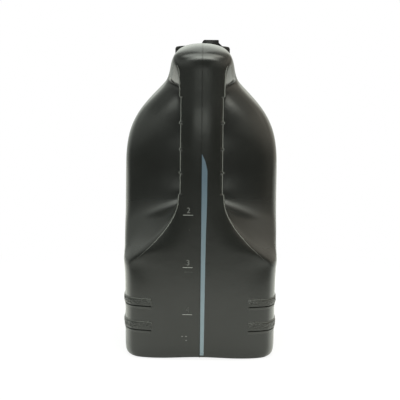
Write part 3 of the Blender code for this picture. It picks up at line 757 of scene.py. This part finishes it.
def corner_band_mesh(reference, side, low, high):
    """A raised grip band round a rear corner, with a groove and a small lip under it."""
    low += 2 * MM
    z0, z1 = low - 3.4 * MM, high + 1.2 * MM
    rows, columns = 46, 170
    heights = [lerp(z0, z1, i / (rows - 1)) for i in range(rows)]
    base = [resampled(corner_path(reference, side, z), columns) for z in heights]
    length = sum((b - a).length for a, b in zip(base[0], base[0][1:]))
    base = smoothed(base, 12)
    normals = corner_normals(base, side)
    top = []
    for z, row, row_normals in zip(heights, base, normals):
        body = smooth((z - low) / (0.45 * MM) + 0.5) * smooth((high - z) / (1.3 * MM))
        lip = smooth((low - 0.9 * MM - z) / (0.5 * MM) + 0.5) * smooth((z - z0 - 0.2 * MM) / (2.4 * MM))
        rise = STRIP_RAISE * body + 0.45 * STRIP_RAISE * lip
        line = []
        for j, (p, n) in enumerate(zip(row, row_normals)):
            s = length * j / (columns - 1)
            ends = smooth((s - 1.6 * MM) / (1.0 * MM)) * smooth((length - 1.6 * MM - s) / (1.0 * MM))
            grain = BAND_GRAIN * noise.noise(p * 820) * body * smooth((z - low - 0.9 * MM) / MM) * ends
            line.append(p + n * ((rise + 0.12 * MM) * ends - 0.12 * MM + grain))
        top.append(line)
    return grid_pad("corner_band", top, sunk(base, normals, 0.55 * WALL))


def band_lines_mesh(reference, offset, height, raise_, at_top):
    """A fine line along the top or the foot of all four bands: a lighter one on top as a painted highlight, a
    dark one at the foot as painted shade.
    """
    bm = bmesh.new()
    for side, _ in SIDES:
        for low, high in STRIP_HEIGHTS:
            z = (high if at_top else low) + offset
            base = [resampled(corner_path(reference, side, z + height * i / 3), 90)[3:-3] for i in range(4)]
            normals = corner_normals(base, side)
            top = [[p + n * (raise_ if i in (1, 2) else 0.3 * raise_) for p, n in zip(row, line)]
                   for i, (row, line) in enumerate(zip(base, normals))]
            pad = grid_pad("band_line", top, sunk(base, normals, 0.5 * WALL))
            bm.from_mesh(pad)
            bpy.data.meshes.remove(pad)
    return finished_mesh("band_lines", bm)


def back_face(reference, x, z):
    """The point and normal that a level ray from behind the bottle meets."""
    return reference.ray_cast(Vector((x, -0.2, z)), Vector((0, 1, 0)))[:2]


def stripe_width(z):
    for (z0, w0), (z1, w1) in zip(STRIPE_WIDTHS, STRIPE_WIDTHS[1:]):
        if z <= z1:
            return lerp(w0, w1, (z - z0) / (z1 - z0)) * MM
    return STRIPE_WIDTHS[-1][1] * MM


def stripe_mesh(reference):
    """The see-through level stripe: a skin a few hundredths of a millimetre proud of the wall."""
    rows, columns = 150, 9
    top, bottom = [], []
    for i in range(rows):
        z = lerp(4.5 * MM, STRIPE_TOP, i / (rows - 1))
        spots = [back_face(reference, STRIPE_LEFT_X + stripe_width(z) * j / (columns - 1), z)
                 for j in range(columns)]
        top.append([point + normal * (0.05 * MM) for point, normal in spots])
        bottom.append([point - normal * (0.4 * MM) for point, normal in spots])
    return grid_pad("level_stripe", top, bottom)


def centre_runs(mesh):
    """Runs of the outer wall's points and normals on the parting plane, and which are closed."""
    bm = bmesh.new()
    bm.from_mesh(mesh)
    links = {}
    for e in bm.edges:
        a, b = e.verts
        if abs(a.co.x) < 1e-6 and abs(b.co.x) < 1e-6:
            links.setdefault(a, []).append(b)
            links.setdefault(b, []).append(a)
    runs, seen = [], set()
    for start in [v for v in links if len(links[v]) == 1] + list(links):
        if start in seen:
            continue
        run, ahead = [], [start]
        while ahead:
            run.append(ahead[0])
            seen.add(ahead[0])
            ahead = [v for v in links[ahead[0]] if v not in seen]
        closed = len(run) > 3 and run[0] in links[run[-1]]
        runs.append(([v.co.copy() for v in run], [v.normal.copy() for v in run], closed))
    bm.free()
    return runs


def seam_mesh(mesh):
    """The mould's parting line: a fine raised bead along the middle of the bottle."""
    bm = bmesh.new()
    half, raise_ = 0.45 * MM, 0.3 * MM
    section = ((-half, -0.25 * MM), (-half, 0.0), (-0.45 * half, raise_), (0.45 * half, raise_),
               (half, 0.0), (half, -0.25 * MM))
    for points, normals, closed in centre_runs(mesh):
        if len(points) < 8:
            continue
        rings = []
        for p, n in zip(points, normals):
            n = Vector((0, n.y, n.z)).normalized()
            rings.append([bm.verts.new(p + Vector((u, 0, 0)) + n * w) for u, w in section])
        join_rings(bm, rings, closed)
        if not closed:
            cap_ends(bm, rings[0], rings[-1])
    return finished_mesh("parting_seam", bm, shade_smooth=False)


def edge_points(mesh, side):
    """The crisp edge of the back face on one side, from the scoop's foot up to the bridge."""
    sharp = mesh.attributes["crease_edge"].data
    found = {v for e in mesh.edges if sharp[e.index].value > 0.01 for v in e.vertices}
    rows = [mesh.vertices[v] for v in found]
    rows = [v for v in rows if side * v.co.x > 10 * MM and v.co.y < -84 * MM and 84 * MM < v.co.z < 266 * MM]
    rows.sort(key=lambda v: v.co.z)
    points, normals = [], []
    for v, w in zip(rows, rows[1:]):
        steps = max(1, round((w.co - v.co).length / (0.6 * MM)))
        for k in range(steps):
            points.append(v.co.lerp(w.co, k / steps))
            normals.append(v.normal.lerp(w.normal, k / steps).normalized())
    return points, normals


def edge_highlight_mesh(mesh, side):
    """A thin, slightly ragged bead along the back face's edge, in a lighter plastic that paints the edge's
    highlight.
    """
    points, normals = edge_points(mesh, side)
    bm = bmesh.new()
    rings = []
    for k, (p, n) in enumerate(zip(points, normals)):
        along = (points[min(k + 1, len(points) - 1)] - points[max(k - 1, 0)]).normalized()
        across = along.cross(n).normalized()
        size = 0.15 + 0.85 * smooth((p.z - 92 * MM) / (26 * MM)) * smooth((268 * MM - p.z) / (8 * MM))
        rough = noise.noise(Vector((side * 7, 3, p.z * 420)))
        rough += 0.6 * noise.noise(Vector((side * 3, 9, p.z * 1100)))
        half, raise_ = HIGHLIGHT_LINE_HALF_WIDTH * size * (1 + 0.55 * rough), HIGHLIGHT_LINE_RAISE * size
        middle = p + recess_move(p, recess_amount(p)) + across * (0.3 * MM * rough * size)
        section = ((-1, -1.4), (-1, 0), (-0.5, 1), (0.5, 1), (1, 0), (1, -1.4))
        rings.append([bm.verts.new(middle + across * (half * u) + n * (raise_ * w)) for u, w in section])
    join_rings(bm, rings)
    cap_ends(bm, rings[0], rings[-1])
    return finished_mesh("edge_highlight", bm)


def bar_into(bm, reference, x0, x1, z0, z1, raise_):
    """A small raised bar on the back face, with its top drawn in all round."""
    corners = [back_face(reference, x, z)[0] for x, z in ((x0, z0), (x1, z0), (x1, z1), (x0, z1))]
    low = [bm.verts.new(c + Vector((0, 0.3 * MM, 0))) for c in corners]
    middle = sum(corners, Vector()) / 4
    high = []
    for c in corners:
        x, _, z = [math.copysign(min(abs(v), 0.12 * MM), v) for v in middle - c]
        high.append(bm.verts.new(c + Vector((x, -raise_, z))))
    cap_ends(bm, high, low)
    join_rings(bm, [low, high])


def marks_mesh(reference):
    """Level lines left of the stripe, one for each litre, and a few small mould marks."""
    bm = bmesh.new()
    for z, _, _ in MARKS:
        bar_into(bm, reference, MARK_LEFT_X, MARK_RIGHT_X, z - 0.38 * MM, z + 0.38 * MM, 0.3 * MM)
    bar_into(bm, reference, -15.0 * MM, MARK_RIGHT_X, 80.6 * MM, 80.8 * MM, 0.1 * MM)
    for x, z in ((-16.5 * MM, 22.2 * MM), (-13.0 * MM, 22.2 * MM), (-12.9 * MM, 18.6 * MM)):
        bar_into(bm, reference, x, x + 1.6 * MM, z - 0.3 * MM, z + 0.3 * MM, 0.2 * MM)
    bar_into(bm, reference, -10.6 * MM, -9.6 * MM, 118.4 * MM, 118.7 * MM, 0.1 * MM)
    return finished_mesh("level_marks", bm, shade_smooth=False)


def digit_mesh(text, z, reference):
    """A raised number that stands over its level mark."""
    curve = bpy.data.curves.new("digit_" + text, "FONT")
    curve.body = text
    curve.size = 7.0 * MM
    curve.align_x = "CENTER"
    curve.extrude = 0.3 * MM
    curve.offset = -0.05 * MM
    mesh = evaluated_mesh(new_object("digit_curve", curve))
    y = back_face(reference, DIGIT_X, z + 3 * MM)[0].y + 0.02 * MM
    upright = Matrix.Rotation(math.radians(90), 4, "X")
    mesh.transform(Matrix.Translation((DIGIT_X, y, z + 2.0 * MM)) @ upright)
    return mesh


class Tree:
    """Short names for adding and joining the nodes of a material or a world."""

    def __init__(self, owner):
        owner.use_nodes = True
        self.tree = owner.node_tree
        self.coords = self.tree.nodes.new("ShaderNodeTexCoord").outputs

    def put(self, socket, value):
        if hasattr(value, "links"):
            self.tree.links.new(value, socket)
        else:
            socket.default_value = value

    def add(self, kind, inputs, output=0, **settings):
        """A new node's output, once its settings are made and its inputs are filled or joined."""
        node = self.tree.nodes.new(kind)
        for key, value in settings.items():
            setattr(node, key, value)
        for key, value in inputs.items():
            self.put(node.inputs[key], value)
        return node.outputs[output]

    def finish(self, kind, surface):
        self.put(self.tree.nodes[kind + " Output"].inputs["Surface"], surface)

    def axes(self, vector):
        node = self.tree.nodes.new("ShaderNodeSeparateXYZ")
        self.put(node.inputs[0], vector)
        return node.outputs

    def math(self, operation, *values):
        return self.add("ShaderNodeMath", dict(enumerate(values)), operation=operation)

    def fade(self, value, low, high, a=0.0, b=1.0, kind="SMOOTHSTEP"):
        """A value's place between low and high, mapped to a and b."""
        inputs = {"Value": value, "From Min": low, "From Max": high, "To Min": a, "To Max": b}
        return self.add("ShaderNodeMapRange", inputs, "Result", interpolation_type=kind)

    def curve(self, value, points):
        """A piecewise straight curve through (position, height) points."""
        span = points[-1][0]
        peak = max(height for _, height in points)
        ramp = self.tree.nodes.new("ShaderNodeValToRGB")
        elements = ramp.color_ramp.elements
        while len(elements) < len(points):
            elements.new(1.0)
        for element, (place, height) in zip(elements, points):
            element.position = place / span
            element.color = (height / peak, height / peak, height / peak, 1)
        self.put(ramp.inputs[0], self.math("DIVIDE", value, span))
        return self.math("MULTIPLY", ramp.outputs["Color"], peak)

    def tint(self, share, a, b):
        a, b = [(*colour, 1) if isinstance(colour, tuple) else colour for colour in (a, b)]
        return self.add("ShaderNodeMix", {0: share, 6: a, 7: b}, 2, data_type="RGBA")

    def blend(self, share, a, b):
        return self.add("ShaderNodeMix", {0: share, 2: a, 3: b}, data_type="FLOAT")

    def noise(self, scale, detail=2.0, roughness=0.5, vector=None):
        inputs = {"Vector": vector or self.coords["Object"], "Scale": scale, "Detail": detail,
                  "Roughness": roughness}
        return self.add("ShaderNodeTexNoise", inputs, "Fac")

    def bump(self, height, depth, **below):
        """A bump of depth metres, over the bump below it when Normal is given."""
        return self.add("ShaderNodeBump", {"Height": height, "Distance": depth, **below}, "Normal")


PLASTIC_IOR = 1.54
EGGSHELL_DEPTH = 0.05 * MM
# Fades that keep the duller plastic in the scoops: axis, start, end (metres) and the share at each
SCUFF_FADES = (("y", -0.055, -0.02, 1, 0), ("z", 0.096, 0.112, 0, 1), ("z", 0.13, 0.148, 1, 0))


def scoop_scuffs(t, extra):
    """Roughness added inside the finger scoops, where hands rub the gloss off."""
    axes = dict(zip("xyz", t.axes(t.coords["Object"])))
    amount = t.fade(axes["y"], -0.093, -0.084, 0, extra)
    for axis, *fade in SCUFF_FADES:
        amount = t.math("MULTIPLY", amount, t.fade(axes[axis], *fade))
    return amount


def hdpe(name, dark, light, roughness, grain, specular=0.5, scuffs=0):
    """Polyethylene with a faint flow streak, uneven gloss and a grain of so many millimetres."""
    material = bpy.data.materials.new(name)
    t = Tree(material)
    inputs = t.tree.nodes["Principled BSDF"].inputs
    stretch = {"Vector": t.coords["Object"], "Scale": (1.0, 1.0, 0.12)}
    streak = t.noise(60, 3, 0.55, t.add("ShaderNodeMapping", stretch, "Vector"))
    uneven = t.fade(t.noise(45, 4, 0.6), 0.3, 0.7, roughness - 0.025, roughness + 0.03, "LINEAR")
    if scuffs:
        uneven = t.math("ADD", uneven, scoop_scuffs(t, scuffs))
    eggshell = t.bump(t.noise(140), EGGSHELL_DEPTH)
    t.put(inputs["Base Color"], t.tint(t.fade(streak, 0.3, 0.7, kind="LINEAR"), dark, light))
    t.put(inputs["Roughness"], uneven)
    t.put(inputs["Normal"], t.bump(t.noise(900), grain * MM, Normal=eggshell))
    t.put(inputs["IOR"], PLASTIC_IOR)
    t.put(inputs["Specular IOR Level"], specular)
    return material


def stripe_material():
    """Unpigmented plastic, lighter towards the bottom and darker higher up."""
    material = bpy.data.materials.new("stripe_hdpe")
    t = Tree(material)
    inputs = t.tree.nodes["Principled BSDF"].inputs
    height = t.fade(t.axes(t.coords["Object"])[2], 0.165, 0.045, kind="LINEAR")
    t.put(inputs["Base Color"], t.tint(height, (0.074, 0.112, 0.152), (0.17, 0.222, 0.26)))
    t.put(inputs["Roughness"], 0.34)
    t.put(inputs["IOR"], PLASTIC_IOR)
    return material


def make_materials():
    return {
        "body": hdpe("dark_hdpe", (0.005, 0.0056, 0.0049), (0.0066, 0.0073, 0.0064), 0.22, 0.01, scuffs=0.24),
        "grip_band": hdpe("stippled_hdpe", (0.014, 0.015, 0.0138), (0.019, 0.02, 0.0185), 0.34, 0.06),
        "stripe": stripe_material(),
        "mark": hdpe("mark_hdpe", (0.2, 0.206, 0.2), (0.24, 0.246, 0.238), 0.36, 0.01),
        # Painted highlight: a lighter plastic for the line along each band's top
        "band_highlight": hdpe("band_highlight_hdpe", (0.05, 0.052, 0.049), (0.065, 0.067, 0.063), 0.4, 0.02),
        # Painted shade: a near-black, dull plastic for the line in the groove under each band
        "band_shade": hdpe("band_shade_hdpe", (0.001, 0.0011, 0.001), (0.0016, 0.0017, 0.0016), 0.7, 0.02,
                          specular=0.12),
        "digit": hdpe("digit_hdpe", (0.12, 0.124, 0.12), (0.15, 0.154, 0.148), 0.36, 0.01),
        "faint": hdpe("faint_hdpe", (0.03, 0.031, 0.03), (0.04, 0.042, 0.04), 0.36, 0.01),
        # Painted highlight: the edge bead is lighter than the wall, standing for the edge catching the light
        "highlight_line": hdpe("highlight_line_hdpe", (0.11, 0.115, 0.108), (0.15, 0.155, 0.146), 0.4, 0.02),
        "cap": hdpe("black_pp", (0.006, 0.006, 0.0063), (0.0085, 0.0085, 0.009), 0.5, 0.02, specular=0.2),
        "foam": hdpe("liner_foam", (0.7, 0.7, 0.68), (0.8, 0.8, 0.78), 0.75, 0.05),
    }


# Brightness of the studio's four walls against height, 0 at the horizon and 1 overhead
FRONT_WALL = ((0.0, 0.15), (0.05, 0.2), (0.1, 0.3), (0.2, 0.27), (0.3, 0.55), (0.5, 0.92),
              (0.6, 0.84), (0.7, 0.43), (0.79, 0.25), (1.0, 0.42))
BACK_WALL = ((0.0, 0.56), (0.13, 0.49), (0.2, 0.57), (0.3, 0.44), (0.5, 0.72), (0.7, 0.62),
             (0.88, 0.9), (1.0, 0.42))
RIGHT_WALL = ((0.0, 0.5), (0.1, 0.4), (0.3, 0.73), (0.5, 1.06), (0.6, 1.12), (0.8, 0.7),
              (0.92, 0.68), (1.0, 0.42))
LEFT_WALL = ((0.0, 0.28), (0.13, 0.29), (0.3, 0.52), (0.5, 0.82), (0.6, 0.9), (0.79, 0.5),
             (0.92, 0.65), (1.0, 0.42))
# The middle of the room in front: a low window's glint, a dark gap, then a long soft box overhead
FRONT_STRIP = ((0.0, 0.12), (0.05, 0.16), (0.08, 3.2), (0.14, 3.2), (0.18, 0.15), (0.62, 0.2),
               (0.7, 7.8), (0.82, 7.6), (0.93, 4.8), (1.0, 3.6))
# Half that box's width against height, as the x of a unit vector
STRIP_WIDTH = ((0.0, 0.12), (0.25, 0.12), (0.5, 0.34), (0.86, 0.34), (0.94, 0.62), (1.0, 0.8))
# The bright cloth straight behind the bottle
BACKDROP = ((0.0, 0.55), (0.2, 0.95), (0.4, 1.8), (0.65, 2.3), (0.85, 2.2), (1.0, 2.6))
# The floor's colour against the distance from the bottle, in metres: a painted pool of light round the bottle
FLOOR_GLOW = ((0.0, 0.98), (0.4, 0.98), (0.55, 0.86), (0.7, 0.55), (0.85, 0.3), (1.0, 0.16),
              (1.4, 0.12), (2.5, 0.12))
FLOOR_REACH = 4
FLOOR_WHITE = 0.9
# The light's tint from the left and from the right
COOL_LIGHT = (0.99, 1.045, 0.955)
WARM_LIGHT = (1.09, 1.025, 0.87)


def set_world():
    """A big soft light overhead, dimmer walls, and white for the camera."""
    world = bpy.data.worlds.new("studio")
    bpy.context.scene.world = world
    t = Tree(world)
    x, y, z = t.axes(t.coords["Generated"])
    level = t.math("SQRT", t.math("MAXIMUM", t.math("SUBTRACT", 1.0, t.math("MULTIPLY", z, z)), 1e-6))
    facing = t.math("DIVIDE", y, level)
    sideways = t.math("DIVIDE", x, level)
    room = t.blend(t.fade(sideways, -0.6, 0.6), t.curve(z, LEFT_WALL), t.curve(z, RIGHT_WALL))
    room = t.blend(t.fade(facing, 0.3, 0.7), room, t.curve(z, BACK_WALL))
    room = t.blend(t.fade(facing, -0.92, -0.55), t.curve(z, FRONT_WALL), room)
    room = t.blend(t.fade(facing, 0.84, 0.97), room, t.curve(z, BACKDROP))
    off_middle = t.math("ABSOLUTE", t.math("SUBTRACT", x, t.math("MULTIPLY", z, 0.03)))
    across = t.fade(t.math("DIVIDE", off_middle, t.curve(z, STRIP_WIDTH)), 0.5, 1.0, 1.0, 0.0)
    in_front = t.fade(y, -0.1, 0.1, 1.0, 0.0)
    room = t.blend(t.math("MULTIPLY", across, in_front), room, t.curve(z, FRONT_STRIP))
    camera = t.add("ShaderNodeLightPath", {}, "Is Camera Ray")
    light = t.tint(t.fade(x, 0.0, 0.7), COOL_LIGHT, WARM_LIGHT)
    background = {"Color": t.tint(camera, light, (1, 1, 1)), "Strength": t.blend(camera, room, 1.0)}
    t.finish("World", t.add("ShaderNodeBackground", background))


def make_floor():
    """A white sheet whose colour falls off into the dark room, a painted pool of light round the bottle and
    lighter behind it, and is white all over for the camera.
    """
    mesh = bpy.data.meshes.new("floor")
    corners = [(x * FLOOR_REACH, y * FLOOR_REACH, 0) for x, y in ((-1, -1), (1, -1), (1, 1), (-1, 1))]
    mesh.from_pydata(corners, [], [(0, 1, 2, 3)])
    floor = new_object("floor", mesh)
    material = bpy.data.materials.new("floor_white")
    t = Tree(material)
    distance = t.add("ShaderNodeVectorMath", {0: t.coords["Object"]}, "Value", operation="LENGTH")
    behind = t.fade(t.axes(t.coords["Object"])[1], 0.1, 0.8, 0.0, 0.6)
    sheet = t.math("MAXIMUM", t.curve(distance, FLOOR_GLOW), behind)
    camera = t.add("ShaderNodeLightPath", {}, "Is Camera Ray")
    shaders = {
        0: t.math("MULTIPLY", camera, t.fade(distance, 0.25, 0.6, FLOOR_WHITE, 1.0)),
        1: t.add("ShaderNodeBsdfDiffuse", {"Color": sheet}),
        2: t.add("ShaderNodeEmission", {"Color": (1, 1, 1, 1)}),
    }
    t.finish("Material", t.add("ShaderNodeMixShader", shaders))
    mesh.materials.append(material)


def make_camera():
    """A long lens level with the shoulders, looking slightly down."""
    data = bpy.data.cameras.new("photo_camera")
    data.lens = 91.6
    data.sensor_width = 36
    data.clip_start = 0.05
    data.shift_x = -0.0007
    data.shift_y = 0.0008
    camera = new_object("photo_camera", data)
    place = Matrix.Translation((-0.0007, -1.0, 0.225))
    pitch, roll = math.radians(90 - 5.04), math.radians(0.62)
    camera.matrix_world = place @ Matrix.Rotation(pitch, 4, "X") @ Matrix.Rotation(roll, 4, "Z")
    bpy.context.scene.camera = camera


def make_pieces():
    made = make_materials()
    fine = surface_mesh(4)
    bm = bmesh.new()
    bm.from_mesh(fine)
    bm.normal_update()
    reference = BVHTree.FromBMesh(bm)
    bm.free()

    looks = [("bottle_shell", shell_mesh(reference), "body"), ("neck_finish", neck_mesh(), "body")]
    for side, word in SIDES:
        for (low, high), place in zip(STRIP_HEIGHTS, ("lower", "upper")):
            mesh = corner_band_mesh(reference, side, low, high)
            looks.append((f"corner_band_{word}_{place}", mesh, "grip_band"))
    looks += [
        # A painted highlight along the bands' tops and painted shade along their feet
        ("band_highlight_lines", band_lines_mesh(reference, -0.7 * MM, 0.9 * MM, 0.85 * MM, True), "band_highlight"),
        ("band_shade_lines", band_lines_mesh(reference, 0.9 * MM, 0.9 * MM, 0.3 * MM, False), "band_shade"),
        ("level_stripe", stripe_mesh(reference), "stripe"),
        ("parting_seam", seam_mesh(fine), "body"),
        ("level_marks", marks_mesh(reference), "mark"),
    ]
    looks += [("level_digit_" + text, digit_mesh(text, z, reference), look) for z, text, look in MARKS]
    looks += [("edge_highlight_" + word, edge_highlight_mesh(fine, side), "highlight_line") for side, word in SIDES]
    bpy.data.meshes.remove(fine)
    for name, mesh, look in looks:
        piece = new_piece(name, mesh, made[look])
        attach(piece, "bottle_body")
        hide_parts("bottle")

    band = new_piece("tamper_band", tamper_mesh(), made["cap"])
    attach(band, "bottle_body")
    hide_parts("tamper_ring")

    for name, mesh in (("cap_shell", cap_mesh()), ("cap_tab", tab_mesh())):
        piece = new_piece(name, mesh, made["cap"])
        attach(piece, "cap_body")
        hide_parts("cap")

    liner = new_piece("foam_liner", liner_mesh(), made["foam"])
    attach(liner, "liner_body")
    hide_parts("seal_liner")


def main():
    scene = bpy.context.scene
    scene.view_settings.view_transform = "Standard"
    make_pieces()
    set_world()
    make_floor()
    make_camera()


main()
